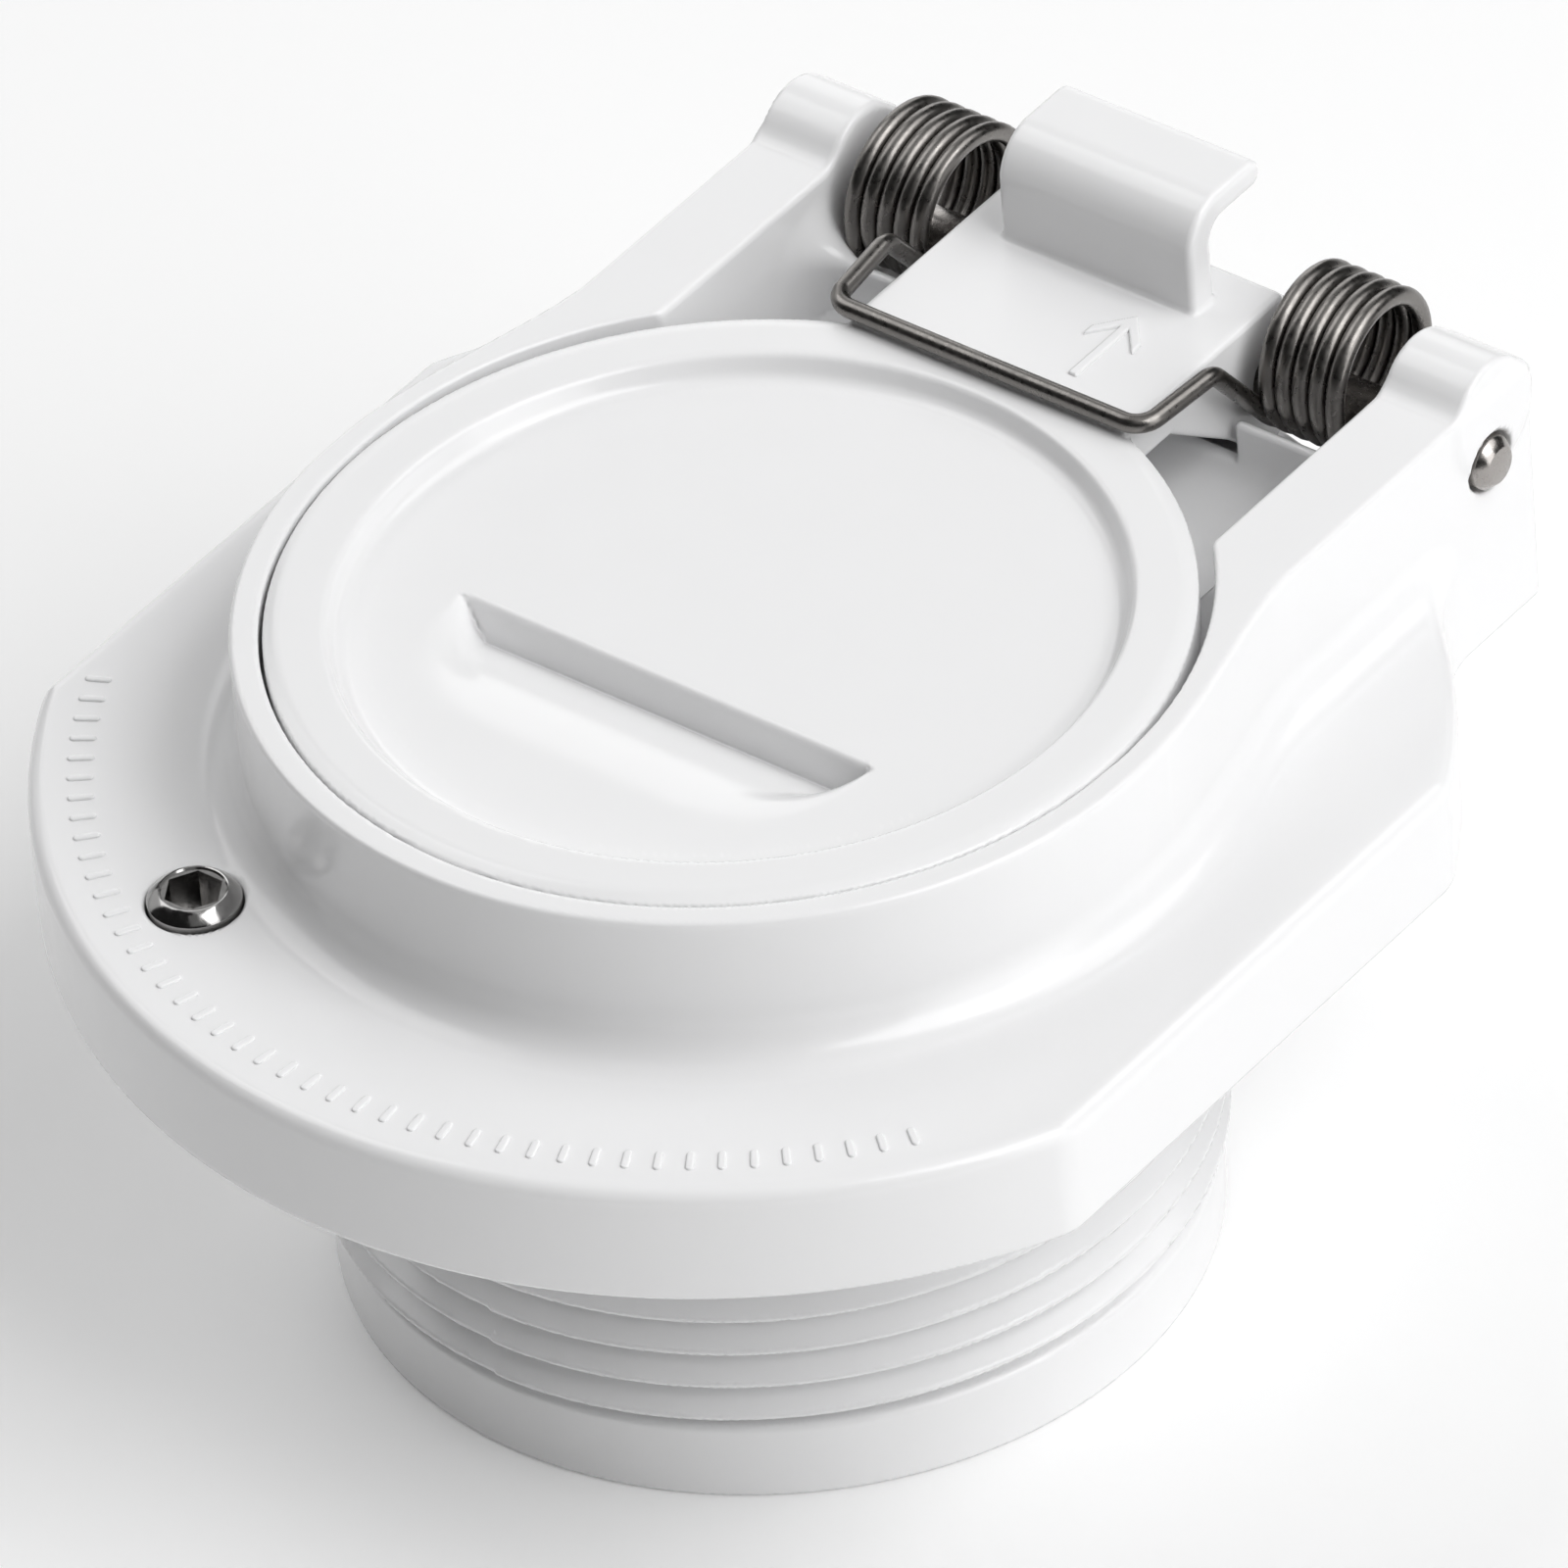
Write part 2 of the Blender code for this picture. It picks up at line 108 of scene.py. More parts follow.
FLAP_RADIUS = 24.25
FLAP_TOP_RADIUS = 23.55  # inside the bevel round its edge
FLAP_EDGE_DROP = 0.28
FLAP_TOP = 15.7
FLAP_BOTTOM = 13.0
RECESS_RADIUS = 20.95
RECESS_FLOOR = 14.4
RECESS_WALL_LEAN = 0.45
SCOOP_HALF_WIDTH = 13.5
SCOOP_WALL_Y = -5.6
SCOOP_FRONT_Y = -14.3
SCOOP_DEPTH = 2.7
SCOOP_END_SLOPE = 1.6  # how far inward the hollow's two ends lean
SCOOP_SKIN = 1.4
PLATE_HALF_WIDTH = 9.1
PLATE_FRONT_Y = 22.2
PLATE_ROOT_Y = 20.9
PLATE_TOP = 16.0
PLATE_BOTTOM = 13.2
PLATE_REAR_Y = 36.2
KNUCKLE_RADIUS = 4.0
WEB_FRONT_Y = 26.0
WEB_SLOPE = 0.74
LEVER_HALF_WIDTH = 6.33
LEVER_FRONT_Y = 32.0
LEVER_REAR_Y = 38.4
LEVER_TOP = 22.4
LEVER_WALL = 1.9
LEVER_HOOK = 1.6
LEVER_BEND = 2.8

WIRE_RADIUS = 0.53
COIL_RADIUS = 4.25
COIL_Y = 36.25
COIL_Z = 13.1
COIL_START_X = {"left": 11.0, "right": 10.0}
COIL_TURNS = 5
COIL_PITCH = 1.08
FIXED_LEG_Y = 31.95
FIXED_LEG_FOOT = 7.8
BAR_Y = 22.3
BAR_Z = PLATE_TOP + WIRE_RADIUS + 0.02
BAR_HALF_WIDTH = 10.1
LEG_TOP = (10.65, 27.8, BAR_Z + 0.2)
WIRE_BEND = 1.3
WIRE_SIDES = 20
STEPS_PER_TURN = 48

SCREW_X = -15.6
SCREW_Y = -26.1
SCREW_RADIUS = 2.5
SCREW_TOP = 7.8
SCREW_LENGTH = 7.4
SCREW_GAP = 0.08
SOCKET_ACROSS_FLATS = 2.8
SOCKET_DEPTH = 2.4

ARROW_X = 3.9
ARROW_TIP_Y = 29.9
ARROW_SHAFT_Y = 27.2
ARROW_SHAFT_HALF = 2.7
ARROW_HEAD_HALF = 1.6
ARROW_HEAD_SLOPE = 1.2
ARROW_LINE_HALF = 0.28
ARROW_HEIGHT = 0.2
MARK_RADIUS = 34.4
MARK_FIRST = -155  # degrees
MARK_LAST = -38
MARK_COUNT = 44
MARK_STRAIGHT_HALF = 0.5
MARK_END_RADIUS = 0.22
MARK_HEIGHT = 0.13

WHITE = (0.85, 0.85, 0.855)
PIN_COLOUR = (0.38, 0.36, 0.345)
WIRE_COLOUR = (0.21, 0.2, 0.19)
SCREW_COLOUR = (0.36, 0.355, 0.35)

# the camera and the panels are in metres
CAMERA_PLACE = (0.5573, -0.6560, 0.6984)
CAMERA_AIM = (0.0028, -0.0002, 0.005)
CAMERA_LENS = 488.5
CAMERA_LEAN = -4.86  # degrees
PANEL_DISTANCE = 0.9
PANEL_SIZE = 0.55
FLOOR_HALF = 3.0

# each panel's azimuth and elevation in degrees, and its power in watts
PANELS = (
    (0, 50, 4.15),
    (0, 18, 2.1),
    (45, 50, 2.05),
    (180, 50, 2.1),
    (180, 18, 0.7),
    (135, 18, 1.4),
    (135, 50, 0.4),
    (315, 50, 0.2),
    (0, 88, 0.65),
)
WORLD_STRENGTH = 0.02

GRID_STEP = 0.25
MARK_STEP = 0.1
BLOCK = 8  # grid cells along each side of a block that is skipped or sampled whole
NO_LIMIT = -1e3  # a field value that no real distance reaches


# ---------------------------------------------------------------- distance fields
def round_union(a, b, radius):
    """Union of two fields with a concave fillet of the given radius."""
    inner = np.hypot(np.maximum(radius - a, 0), np.maximum(radius - b, 0))
    return np.maximum(radius, np.minimum(a, b)) - inner


def round_both(a, b, radius):
    """Intersection of two fields with a rounded edge of the given radius."""
    outer = np.hypot(np.maximum(radius + a, 0), np.maximum(radius + b, 0))
    return np.minimum(-radius, np.maximum(a, b)) + outer


def round_cut(a, b, radius):
    """Field a with field b taken out of it, and the edge between them rounded."""
    return round_both(a, -b, radius)


def slab(values, low, high):
    return np.abs(values - (low + high) / 2) - (high - low) / 2


def block(x, y, z, low, high, radius):
    """A box with all its edges rounded."""
    spans = [slab(values, *limits) + radius for values, limits in zip((x, y, z), zip(low, high))]
    outside = np.sqrt(sum(np.maximum(span, 0) ** 2 for span in spans))
    return outside + np.minimum(np.maximum.reduce(spans), 0) - radius


def thread_radius(x, y, z):
    """Radius of a right-handed pipe thread, with a small step where the two halves of the mould met."""
    half = np.where(x < 0, 1.0, 0.0)
    turn = np.arctan2(y, x) / (2 * pi) - (z - MOULD_STEP * half) / THREAD_PITCH
    wave = 2 * np.abs(turn - np.floor(turn) - 0.5)
    depth = np.clip((wave - 0.1) / 0.84, 0, 1)
    fade = np.clip((z - THREAD_END) / 0.5, 0, 1) * np.clip((-0.7 - z) / 0.8, 0, 1)
    height = THREAD_RADIUS - MOULD_STEP / 2 * half - THREAD_ROOT_RADIUS
    return THREAD_ROOT_RADIUS + height * (1 - depth) * fade


def tube_outside(x, y, z, r):
    """The threaded tube with its plain collar below and its relief neck above."""
    thread = (r - thread_radius(x, y, z)) * 0.55
    thread = np.maximum(thread, slab(z, THREAD_END, 1))
    collar = round_both(r - COLLAR_RADIUS, slab(z, -TUBE_LENGTH, THREAD_END + 0.6), 0.35)
    neck = np.maximum(r - NECK_RADIUS, slab(z, -NECK_LENGTH, 1))
    return np.minimum(np.minimum(thread, collar), neck)


def arm_plan(x, y):
    """Both arms and the raised ring seen from above, with the hollows between them filled by fillets."""
    arms = np.maximum(slab(np.abs(x), ARM_INNER_X - 4, ARM_OUTER_X), slab(y, ARM_FRONT_Y, ARM_REAR_Y))
    return round_union(np.hypot(x, y) - RING_RADIUS, arms, ARM_RING_FILLET)


def housing_field(x, y, z):
    """The housing: flange, ring, arms and tube, less the pocket, the seat, the bore and the holes."""
    r = np.hypot(x, y)
    across = np.abs(x)
    outline = round_both(r - FLANGE_RADIUS, across - FLAT_X, 0.4)
    flange = round_both(outline, z - FLANGE_TOP, 0.9)
    raised = round_both(arm_plan(x, y), z - RING_TOP, 0.3)
    boss_y = ARM_REAR_Y - BOSS_RADIUS
    boss = np.hypot(y - boss_y, z - BOSS_Z) - BOSS_RADIUS
    boss = round_both(boss, slab(across, ARM_INNER_X - 3, ARM_OUTER_X), 0.35)
    rear_top = round_both(y - ARM_REAR_Y, z - BOSS_Z - BOSS_RADIUS, BOSS_RADIUS)
    raised = np.maximum(raised, np.where(y > boss_y, rear_top, NO_LIMIT))
    raised = round_union(raised, boss, 0.7)
    solid = round_union(flange, raised, RING_FILLET)
    solid = round_both(solid, -z, 0.4)
    solid = np.minimum(solid, tube_outside(x, y, z, r))

    pocket = round_both(across - ARM_INNER_X, POCKET_FRONT_Y - y, 0.3)
    pocket = round_both(pocket, FLANGE_TOP - z, 1.0)
    seat_tube = np.maximum(r - SEAT_TUBE_RADIUS, z - SEAT_Z)
    pocket = round_cut(pocket, seat_tube, 0.8)
    solid = round_cut(solid, pocket, 0.4)
    sweep = np.maximum(np.hypot(x, y - REAR_SWEEP_Y) - REAR_SWEEP_RADIUS, SEAT_Z - z)
    inside = np.minimum(np.maximum(r - RING_INNER_RADIUS, SEAT_Z - z), sweep)
    solid = round_cut(solid, inside, 0.2)
    solid = round_cut(solid, r - BORE_RADIUS, 0.4)

    wall_front = STOP_WALL_REAR_Y - STOP_WALL_THICKNESS
    far_end = (ARM_INNER_X + 1, STOP_WALL_REAR_Y, STOP_WALL_TOP)
    wall = block(across, y, z, (STOP_WALL_INNER_X, wall_front, FLANGE_TOP - 1), far_end, 0.25)
    ridge_end = (ARM_INNER_X + 1, STOP_WALL_REAR_Y, STOP_RIDGE_TOP)
    ridge = block(across, y, z, (-1, wall_front, FLANGE_TOP - 1), ridge_end, 0.25)
    solid = round_union(solid, np.minimum(wall, ridge), STOP_WALL_FILLET)
    pin_hole = np.hypot(y - HINGE_Y, z - HINGE_Z) - PIN_HOLE_RADIUS
    solid = round_cut(solid, pin_hole, 0.15)
    screw_hole = np.hypot(x - SCREW_X, y - SCREW_Y) - SCREW_RADIUS - SCREW_GAP
    return round_cut(solid, screw_hole, 0.25)


def scoop_depth(x, y, grow):
    """Depth of the finger scoop below the recess floor: deepest along its straight wall, fading forward."""
    run = np.clip((SCOOP_WALL_Y - y) / (SCOOP_WALL_Y - SCOOP_FRONT_Y), 0, 1)
    inside = SCOOP_HALF_WIDTH + grow - 2 * run * run - np.abs(x)
    rise = np.clip(inside / (SCOOP_END_SLOPE + 6 * run), 0, 1)
    return SCOOP_DEPTH * (1 - run) ** 2 * rise * rise * (3 - 2 * rise)


def scoop_field(x, y, z, depth, grow):
    """The scoop's hollow, or with grow the skin that runs under it."""
    hollow = round_both((RECESS_FLOOR - depth - grow - z) * 0.45, y - SCOOP_WALL_Y - grow, 0.15)
    return np.maximum(hollow, np.hypot(x, y) - RECESS_RADIUS + 2)


def lever_field(x, y, z):
    """The hooked thumb lever, open underneath at the rear."""
    outer = round_both(LEVER_FRONT_Y - y, z - LEVER_TOP, LEVER_BEND)
    outer = round_both(outer, y - LEVER_REAR_Y, 0.75)
    under = z - (LEVER_TOP - LEVER_HOOK)
    hollow = round_both(LEVER_FRONT_Y + LEVER_WALL - y, under, 1.2)
    side = round_cut(outer, hollow, 0.7)
    side = np.maximum(side, PLATE_TOP - 1 - z)
    return round_both(side, np.abs(x) - LEVER_HALF_WIDTH, 0.4)


def hinge_block_field(x, y, z):
    """The hinge plate, its root on the disc, the web under it and the knuckle round the pin."""
    knuckle = np.hypot(y - HINGE_Y, z - HINGE_Z) - KNUCKLE_RADIUS
    plate = round_both(slab(y, PLATE_FRONT_Y, PLATE_REAR_Y), slab(z, HINGE_Z, PLATE_TOP), 0.3)
    plate = np.maximum(plate, np.where(y < HINGE_Y, PLATE_BOTTOM - z, NO_LIMIT))
    root = np.maximum(slab(y, PLATE_ROOT_Y, HINGE_Y), slab(z, PLATE_BOTTOM, FLAP_TOP - 0.2))
    web = (WEB_FRONT_Y - y) * WEB_SLOPE - (z - PLATE_BOTTOM)
    web = np.maximum(web / hypot(1, WEB_SLOPE), z - PLATE_TOP)
    web = np.maximum(web, y - HINGE_Y)
    side = np.minimum(np.minimum(plate, root), web)
    side = round_union(side, knuckle, 0.5)
    return round_both(side, np.abs(x) - PLATE_HALF_WIDTH, 0.35)


def arrow_field(x, y, z):
    """A plain raised arrow on the plate that points to the hinge."""
    across = np.abs(x - ARROW_X)
    shaft = np.maximum(across - ARROW_LINE_HALF, np.abs(y - ARROW_SHAFT_Y) - ARROW_SHAFT_HALF)
    head = np.abs(y - ARROW_TIP_Y + across * ARROW_HEAD_SLOPE) / hypot(1, ARROW_HEAD_SLOPE)
    head = np.maximum(head - ARROW_LINE_HALF, across - ARROW_HEAD_HALF)
    outline = np.minimum(shaft, head)
    return round_both(outline, slab(z, PLATE_TOP - 0.3, PLATE_TOP + ARROW_HEIGHT), 0.12)


def flange_marks_field(x, y, z):
    """A row of short raised bars round the flange, in place of the moulded wording."""
    angle = np.degrees(np.arctan2(y, x))
    pitch = (MARK_LAST - MARK_FIRST) / (MARK_COUNT - 1)
    nearest = np.clip(np.round((angle - MARK_FIRST) / pitch), 0, MARK_COUNT - 1) * pitch + MARK_FIRST
    along = np.radians(angle - nearest) * MARK_RADIUS
    outward = np.maximum(np.abs(np.hypot(x, y) - MARK_RADIUS) - MARK_STRAIGHT_HALF, 0)
    bar = np.hypot(outward, along) - MARK_END_RADIUS
    return round_both(bar, slab(z, FLANGE_TOP - 0.3, FLANGE_TOP + MARK_HEIGHT), 0.1)


def flap_field(x, y, z):
    """The flap: disc with its recess and scoop, hinge block and lever."""
    r = np.hypot(x, y)
    disc = round_both(r - FLAP_RADIUS, slab(z, FLAP_BOTTOM, FLAP_TOP), 0.15)
    run = FLAP_RADIUS - FLAP_TOP_RADIUS
    bevel = (r - FLAP_TOP_RADIUS) * FLAP_EDGE_DROP + (z - FLAP_TOP) * run
    disc = round_both(disc, bevel / hypot(run, FLAP_EDGE_DROP), 0.1)
    under = scoop_depth(x, y, SCOOP_SKIN)
    skin = np.maximum(scoop_field(x, y, z, under, SCOOP_SKIN), z - FLAP_BOTTOM - 0.5)
    disc = round_union(disc, skin, 0.8 * np.clip(under, 0.001, 1))
    wall = (r - RECESS_RADIUS - (z - FLAP_TOP) * RECESS_WALL_LEAN) * 0.9
    recess = round_both(wall, RECESS_FLOOR - z, 0.5)
    depth = scoop_depth(x, y, 0)
    hollow = round_union(recess, scoop_field(x, y, z, depth, 0), 0.4 * np.clip(depth, 0.001, 1))
    disc = round_cut(disc, hollow, 0.25)
    hinge = round_union(hinge_block_field(x, y, z), lever_field(x, y, z), 0.35)
    solid = np.minimum(disc, hinge)
    pin_hole = np.hypot(y - HINGE_Y, z - HINGE_Z) - PIN_HOLE_RADIUS
    return round_cut(solid, pin_hole, 0.2)


# ---------------------------------------------------------------- meshing
def sample_field(field, low, counts, step):
    """The field on a grid, worked out only in the blocks that the surface may cross."""
    blocks = -(-counts // BLOCK)
    centres = [low[i] + (np.arange(blocks[i]) + 0.5) * BLOCK * step - step / 2 for i in range(3)]
    grid = np.stack(np.meshgrid(*centres, indexing="ij"), -1).reshape(-1, 3)
    rough = field(*grid.T.astype(np.float32))
    reach = BLOCK * step * 1.3
    values = np.repeat(np.clip(rough, -reach, reach).astype(np.float32), BLOCK**3)
    values = values.reshape(-1, BLOCK, BLOCK, BLOCK)
    near = np.flatnonzero(np.abs(rough) < reach)
    offsets = (np.arange(BLOCK) - (BLOCK - 1) / 2) * step
    cell = np.stack(np.meshgrid(offsets, offsets, offsets, indexing="ij"), -1).reshape(-1, 3)
    for start in range(0, len(near), 1000):
        some = near[start : start + 1000]
        points = (grid[some, None, :] + cell[None]).reshape(-1, 3).T.astype(np.float32)
        values[some] = field(*points).reshape(-1, BLOCK, BLOCK, BLOCK)
    values = values.reshape(*blocks, BLOCK, BLOCK, BLOCK).transpose(0, 3, 1, 4, 2, 5)
    return values.reshape(blocks * BLOCK)


def gradient(field, points, reach):
    """The field's unit slope at the points, from values a short way to each side."""
    sides = []
    for axis in range(3):
        shift = np.zeros(3)
        shift[axis] = reach
        sides.append(field(*(points + shift).T) - field(*(points - shift).T))
    slope = np.stack(sides, -1)
    return slope / np.maximum(np.linalg.norm(slope, axis=1), 1e-9)[:, None]


def field_mesh(name, field, low, high, step=GRID_STEP):
    """Meshes a field's surface, moves each point onto it and takes its normals from the field."""
    low = np.array(low, float)
    counts = np.ceil((np.array(high) - low) / step).astype(int) + 1
    grid = openvdb.FloatGrid(3 * step)
    grid.copyFromArray(sample_field(field, low, counts, step))
    points, triangles, quads = grid.convertToPolygons(0.0, 0.0)
    points = low + points * step
    for _ in range(3):
        points = points - gradient(field, points, 0.02) * field(*points.T)[:, None]
    faces = quads.tolist() + triangles.tolist()
    mesh = bpy.data.meshes.new(name)
    mesh.from_pydata((points * MM).tolist(), [], faces)
    mesh.validate()
    mesh.shade_smooth()
    mesh.normals_split_custom_set_from_vertices(gradient(field, points, 0.06).tolist())
    made = bpy.data.objects.new(name, mesh)
    bpy.context.scene.collection.objects.link(made)
    return made


def new_object(name, builder):
    """A smooth-shaded object from a bmesh, with its sharper edges kept."""
    bmesh.ops.recalc_face_normals(builder, faces=builder.faces)
    mesh = bpy.data.meshes.new(name)
    builder.to_mesh(mesh)
    builder.free()
    mesh.shade_smooth()
    mesh.set_sharp_from_angle(angle=radians(40))
    made = bpy.data.objects.new(name, mesh)
    bpy.context.scene.collection.objects.link(made)
    return made


def turned(name, profile, sides):
    """A solid of revolution about Z, in millimetres, from a profile that starts and ends on the axis."""
    builder = bmesh.new()
    rings = []
    for radius, height in profile:
        angles = [2 * pi * step / sides for step in range(sides if radius else 1)]
        places = [Vector((radius * cos(a), radius * sin(a), height)) * MM for a in angles]
        rings.append([builder.verts.new(place) for place in places])
    for lower, upper in zip(rings, rings[1:]):
        for step in range(sides):
            following = (step + 1) % sides
            corners = [lower[step % len(lower)], lower[following % len(lower)]]
            corners += [upper[following % len(upper)], upper[step % len(upper)]]
            builder.faces.new(list(dict.fromkeys(corners)))
    return new_object(name, builder)


def tube_along(name, points, radius, sides):
    """A closed round wire through points in millimetres."""
    builder = bmesh.new()
    path = [Vector(point) for point in points]
    tangent = (path[1] - path[0]).normalized()
    normal = tangent.orthogonal().normalized()
    sections = []
    for index, point in enumerate(path):
        following = (path[min(index + 1, len(path) - 1)] - path[max(index - 1, 0)]).normalized()
        normal.rotate(tangent.rotation_difference(following))
        tangent = following
        side = tangent.cross(normal)
        angles = [2 * pi * step / sides for step in range(sides)]
        ring = [point + radius * (cos(a) * normal + sin(a) * side) for a in angles]
        sections.append([builder.verts.new(place * MM) for place in ring])
    for first, second in zip(sections, sections[1:]):
        for step in range(sides):
            following = (step + 1) % sides
            builder.faces.new((first[step], first[following], second[following], second[step]))
    builder.faces.new(list(reversed(sections[0])))
    builder.faces.new(sections[-1])
    return new_object(name, builder)


def rounded_path(corners, bend, steps):
    """The corner points joined by straight runs, with each inner corner rounded."""
    points = [Vector(corners[0])]
    for before, corner, after in zip(corners, corners[1:], corners[2:]):
        corner = Vector(corner)
        towards = (Vector(before) - corner).normalized()
        away = (Vector(after) - corner).normalized()
        half_angle = acos(max(-1.0, min(1.0, towards.dot(away)))) / 2
        setback = bend * cos(half_angle) / sin(half_angle)
        centre = corner + (towards + away).normalized() * (bend / sin(half_angle))
        first = corner + towards * setback - centre
        last = corner + away * setback - centre
        sweep = first.angle(last)
        for step in range(steps + 1):
            share = step / steps
            weights = (sin((1 - share) * sweep) / sin(sweep), sin(share * sweep) / sin(sweep))
            points.append(centre + first * weights[0] + last * weights[1])
    points.append(Vector(corners[-1]))
    return points


def spring_half_path(side):
    """Half of the wire, from the middle of the bar over one leg and through the coil to its fixed leg."""
    start_x = COIL_START_X[side]
    to_centre = (COIL_Y - LEG_TOP[1], COIL_Z - LEG_TOP[2])
    distance = hypot(*to_centre)
    angle = atan2(to_centre[1], to_centre[0]) - asin(COIL_RADIUS / distance)
    length = (distance**2 - COIL_RADIUS**2) ** 0.5
    meets = (start_x, LEG_TOP[1] + cos(angle) * length, LEG_TOP[2] + sin(angle) * length)
    corners = [(0, BAR_Y, BAR_Z), (BAR_HALF_WIDTH, BAR_Y, BAR_Z), LEG_TOP, meets]
    points = rounded_path(corners, WIRE_BEND, 10)
    first = angle + radians(270)
    last = radians(180 + 360 * COIL_TURNS)
    steps = STEPS_PER_TURN * COIL_TURNS
    for step in range(1, steps + 1):
        turn = first + (last - first) * step / steps
        x = start_x + COIL_PITCH * (turn - first) / (2 * pi)
        points.append(Vector((x, COIL_Y + COIL_RADIUS * cos(turn), COIL_Z + COIL_RADIUS * sin(turn))))
    end = points[-1]
    foot = (end.x, FIXED_LEG_Y, FIXED_LEG_FOOT)
    points += [end.lerp(Vector(foot), share / 6) for share in range(1, 7)]
    return points


# ---------------------------------------------------------------- materials
def new_material(name):
    made = bpy.data.materials.new(name)
    made.use_nodes = True
    return made, made.node_tree.nodes["Principled BSDF"]


def noise(made, scale, detail):
    """Noise over the piece's own rest coordinates, which stay with it in every pose."""
    nodes = made.node_tree.nodes
    place = nodes.new("ShaderNodeTexCoord")
    texture = nodes.new("ShaderNodeTexNoise")
    texture.inputs["Scale"].default_value = scale
    texture.inputs["Detail"].default_value = detail
    made.node_tree.links.new(place.outputs["Object"], texture.inputs["Vector"])
    return texture.outputs["Fac"]


def spread(made, value, low, high, socket):
    """Maps a 0 to 1 value onto a shader socket's range."""
    ramp = made.node_tree.nodes.new("ShaderNodeMapRange")
    ramp.inputs["From Min"].default_value = 0.3
    ramp.inputs["From Max"].default_value = 0.7
    ramp.inputs["To Min"].default_value = low
    ramp.inputs["To Max"].default_value = high
    made.node_tree.links.new(value, ramp.inputs["Value"])
    made.node_tree.links.new(ramp.outputs["Result"], socket)


def bump(made, shader, height, strength, distance):
    """Turns a 0 to 1 value into fine relief, distance metres deep."""
    node = made.node_tree.nodes.new("ShaderNodeBump")
    node.inputs["Strength"].default_value = strength
    node.inputs["Distance"].default_value = distance
    made.node_tree.links.new(height, node.inputs["Height"])
    made.node_tree.links.new(node.outputs["Normal"], shader.inputs["Normal"])


def white_plastic(name, colour):
    """Glossy moulded plastic, its gloss uneven and its skin very slightly rippled."""
    made, shader = new_material(name)
    shader.inputs["Base Color"].default_value = (*colour, 1)
    shader.inputs["IOR"].default_value = 1.49
    spread(made, noise(made, 260, 3), 0.16, 0.22, shader.inputs["Roughness"])
    bump(made, shader, noise(made, 900, 2), 0.15, 0.00002)
    return made


def steel(name, colour, low, high):
    """Steel with a fine grain; low and high bound its roughness."""
    made, shader = new_material(name)
    shader.inputs["Base Color"].default_value = (*colour, 1)
    shader.inputs["Metallic"].default_value = 1
    spread(made, noise(made, 2600, 4), low, high, shader.inputs["Roughness"])
    bump(made, shader, noise(made, 5200, 3), 0.35, 0.00001)
    return made


# ---------------------------------------------------------------- pieces
def dress(piece, made_of):
    """Gives a piece its material."""
    piece.data.materials.append(made_of)


def make_mouldings():
    """The two white mouldings and the raised marks that belong to them."""
    white = white_plastic("white_moulding", WHITE)
    housing = field_mesh("housing_body", housing_field, (-38, -38, -26), (38, 40, 19))
    marks = field_mesh("flange_marks", flange_marks_field, (-36, -36, 6.5), (30, -12, 7.4), MARK_STEP)
    flap = field_mesh("flap_body", flap_field, (-25, -25, 6.5), (25, 41, 24))
    arrow = field_mesh("flap_arrow", arrow_field, (1.6, 23.8, 15.5), (6.2, 31, 16.5), MARK_STEP)
    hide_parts("housing")
    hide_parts("flap")
    for piece, node in ((housing, "housing"), (marks, "housing"), (flap, "flap"), (arrow, "flap")):
        dress(piece, white)
        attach(piece, node)


def make_pin():
    """A turned pin with chamfered ends, laid along the hinge."""
    half = PIN_HALF_LENGTH
    profile = [(0, half), (PIN_RADIUS - 0.55, half), (PIN_RADIUS - 0.48, half - 0.03)]
    profile += [(PIN_RADIUS - 0.04, half - 0.5), (PIN_RADIUS, half - 0.62)]
    profile += [(radius, -height) for radius, height in reversed(profile)]
    pin = turned("hinge_pin_body", profile, 48)
    pin.data.transform(Matrix.Rotation(pi / 2, 4, "Y"))
    pin.data.transform(Matrix.Translation((0, HINGE_Y * MM, HINGE_Z * MM)))
    dress(pin, steel("pin_steel", PIN_COLOUR, 0.18, 0.32))
    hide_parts("hinge_pin")
    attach(pin, "housing")


def make_spring():
    """The wire in two mirrored halves: fixed leg and coil turn into the moving loop."""
    wire = steel("spring_wire", WIRE_COLOUR, 0.24, 0.38)
    for side, outward in (("left", -1), ("right", 1)):
        path = spring_half_path(side)
        points = [(outward * point.x, point.y, point.z) for point in path]
        half = tube_along("spring_" + side, points, WIRE_RADIUS, WIRE_SIDES)
        dress(half, wire)
        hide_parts("spring_coil_" + side, "spring_loop")
        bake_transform(half)


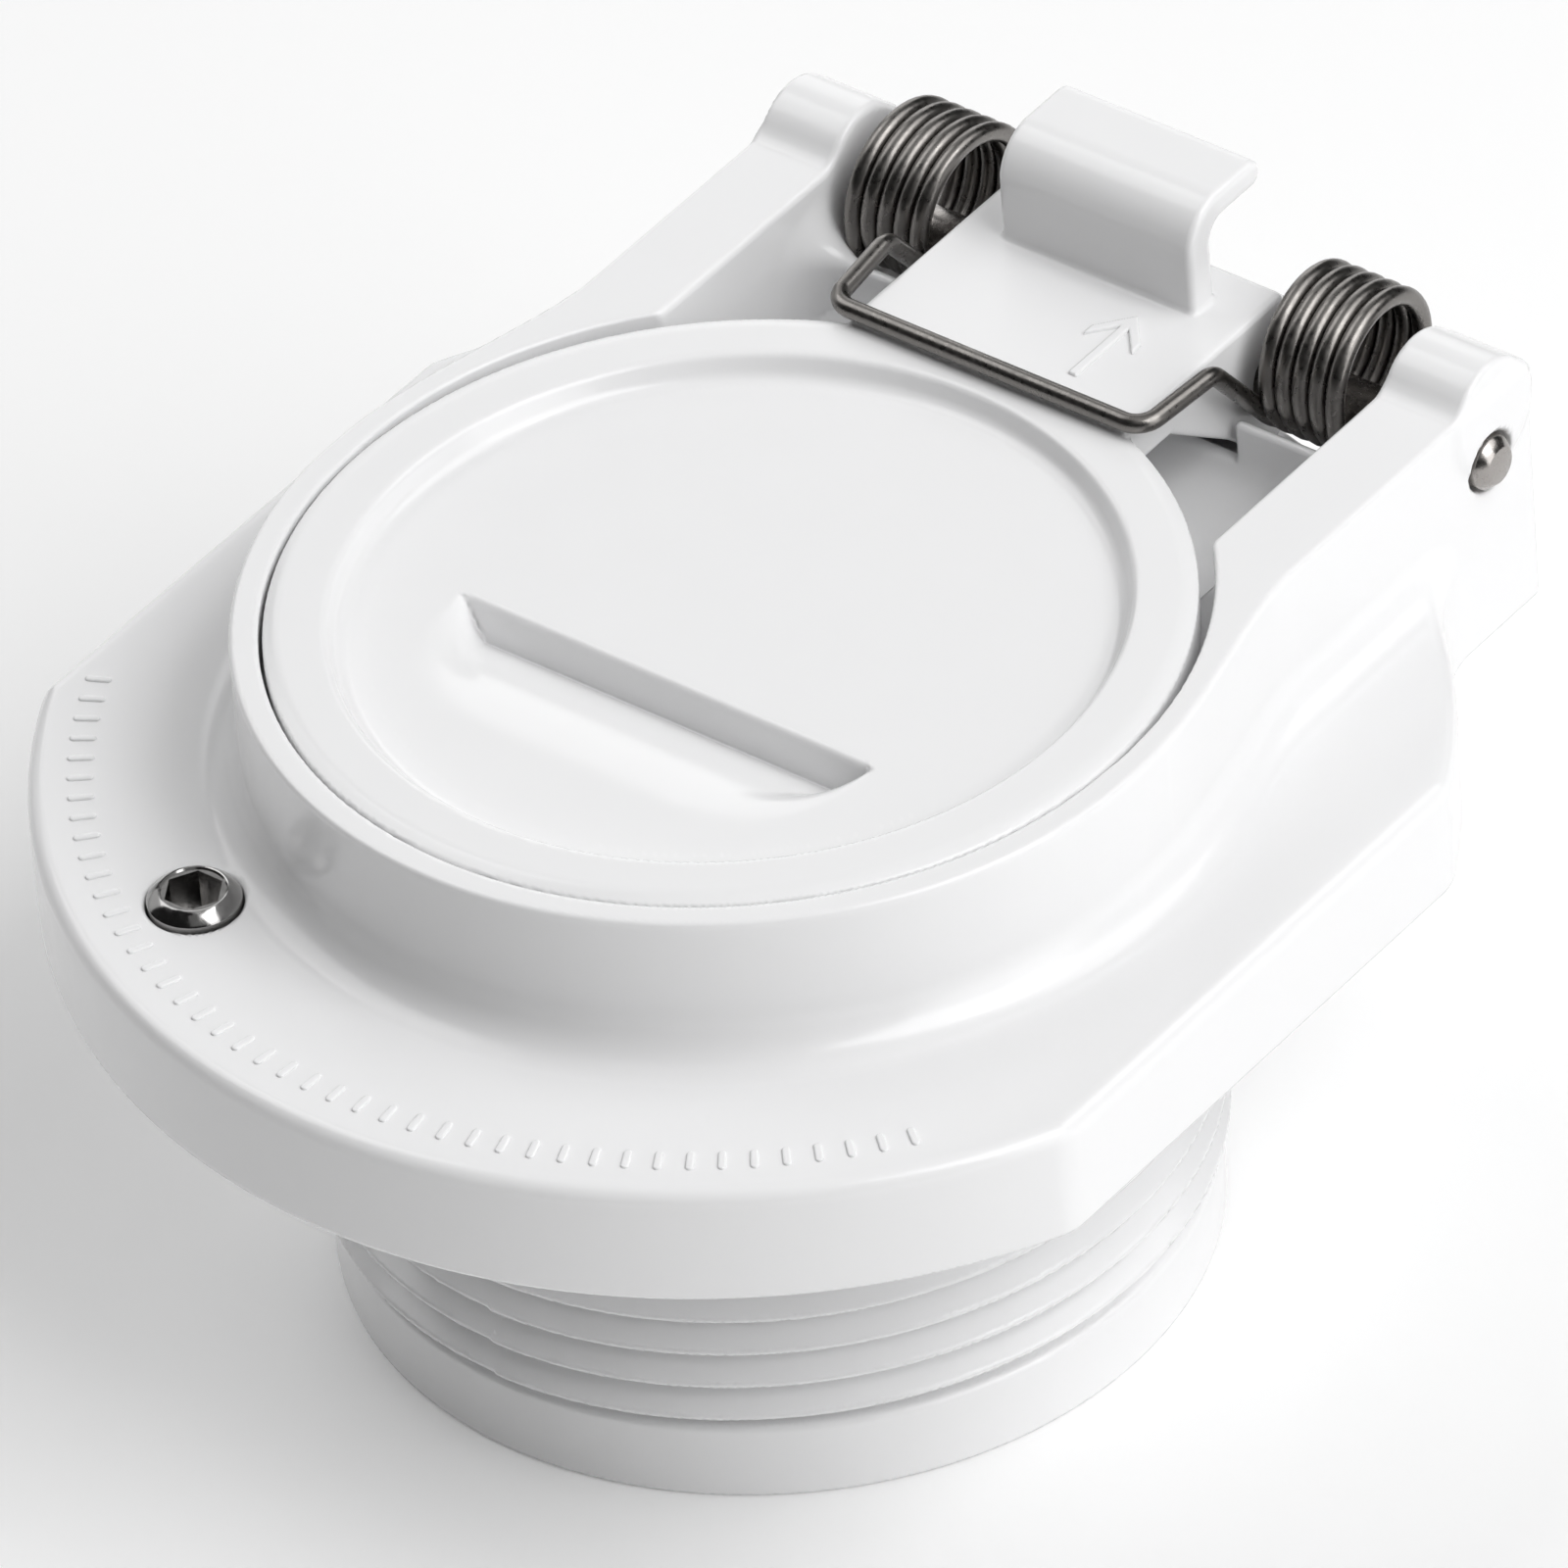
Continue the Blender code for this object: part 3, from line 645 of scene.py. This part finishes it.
def make_set_screw():
    """A turned screw with a bevelled rim, and its hex socket cut in."""
    top = SCREW_TOP
    foot = SCREW_TOP - SCREW_LENGTH
    rim = SCREW_RADIUS
    corner = SOCKET_ACROSS_FLATS / 2 / cos(pi / 6)
    profile = [(0, top - 0.12), (corner + 0.08, top - 0.12), (corner + 0.16, top - 0.02)]
    profile += [(rim - 0.66, top), (rim - 0.56, top - 0.05), (rim - 0.1, top - 0.46), (rim, top - 0.62)]
    profile += [(rim, foot + 0.4), (rim - 0.4, foot), (0, foot)]
    screw = turned("set_screw_body", profile, 64)
    socket_foot = top - SOCKET_DEPTH
    socket = [(0, top + 1), (corner, top + 1), (corner, socket_foot), (0, socket_foot)]
    cutter = turned("hex_cutter", socket, 6)
    cut = screw.modifiers.new("hex", "BOOLEAN")
    cut.object = cutter
    cut.operation = "DIFFERENCE"
    graph = bpy.context.evaluated_depsgraph_get()
    cut_mesh = bpy.data.meshes.new_from_object(screw.evaluated_get(graph))
    screw.modifiers.clear()
    screw.data = cut_mesh
    bpy.data.objects.remove(cutter)
    screw.data.transform(Matrix.Translation((SCREW_X * MM, SCREW_Y * MM, 0)))
    screw.data.set_sharp_from_angle(angle=radians(30))
    dress(screw, steel("screw_steel", SCREW_COLOUR, 0.1, 0.22))
    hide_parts("set_screw")
    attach(screw, "set_screw")


# ---------------------------------------------------------------- stage
def soft_light(azimuth, elevation, watts):
    """A large square panel that faces the part."""
    around = radians(azimuth)
    above = radians(elevation)
    towards = Vector((cos(above) * cos(around), cos(above) * sin(around), sin(above)))
    place = towards * PANEL_DISTANCE
    light = bpy.data.lights.new("panel", "AREA")
    light.shape = "SQUARE"
    light.size = PANEL_SIZE
    light.energy = watts
    made = bpy.data.objects.new("panel", light)
    made.location = place
    made.rotation_euler = (-place).to_track_quat("-Z", "Y").to_euler()
    bpy.context.scene.collection.objects.link(made)


def make_stage():
    """A pale floor, faintly lit from within so that its shadows stay soft, and the lights."""
    mesh = bpy.data.meshes.new("floor")
    half = FLOOR_HALF
    height = -TUBE_LENGTH * MM
    corners = [(-half, -half, height), (half, -half, height), (half, half, height), (-half, half, height)]
    mesh.from_pydata(corners, [], [(0, 1, 2, 3)])
    floor = bpy.data.objects.new("floor", mesh)
    bpy.context.scene.collection.objects.link(floor)
    made, shader = new_material("floor_paper")
    shader.inputs["Base Color"].default_value = (0.88, 0.88, 0.88, 1)
    shader.inputs["Roughness"].default_value = 0.9
    shader.inputs["Emission Color"].default_value = (1, 1, 1, 1)
    shader.inputs["Emission Strength"].default_value = 0.1
    mesh.materials.append(made)

    world = bpy.data.worlds.new("studio")
    bpy.context.scene.world = world
    world.use_nodes = True
    world.node_tree.nodes["Background"].inputs["Color"].default_value = (1, 1, 1, 1)
    world.node_tree.nodes["Background"].inputs["Strength"].default_value = WORLD_STRENGTH
    for azimuth, elevation, watts in PANELS:
        soft_light(azimuth, elevation, watts)
    bpy.context.scene.view_settings.view_transform = "Standard"


def make_camera():
    """A long lens high on the right, leaning a little, as the object was seen."""
    place = Vector(CAMERA_PLACE)
    back = (place - Vector(CAMERA_AIM)).normalized()
    level = Vector((0, 0, 1)).cross(back).normalized()
    lean = Matrix.Rotation(radians(CAMERA_LEAN), 3, back)
    right = lean @ level
    up = lean @ back.cross(level)
    camera = bpy.data.cameras.new("camera")
    camera.sensor_width = 36
    camera.lens = CAMERA_LENS
    camera.clip_end = 10
    made = bpy.data.objects.new("camera", camera)
    made.matrix_world = Matrix.Translation(place) @ Matrix((right, up, back)).transposed().to_4x4()
    bpy.context.scene.collection.objects.link(made)
    bpy.context.scene.camera = made


make_mouldings()
make_pin()
make_spring()
make_set_screw()
make_stage()
make_camera()
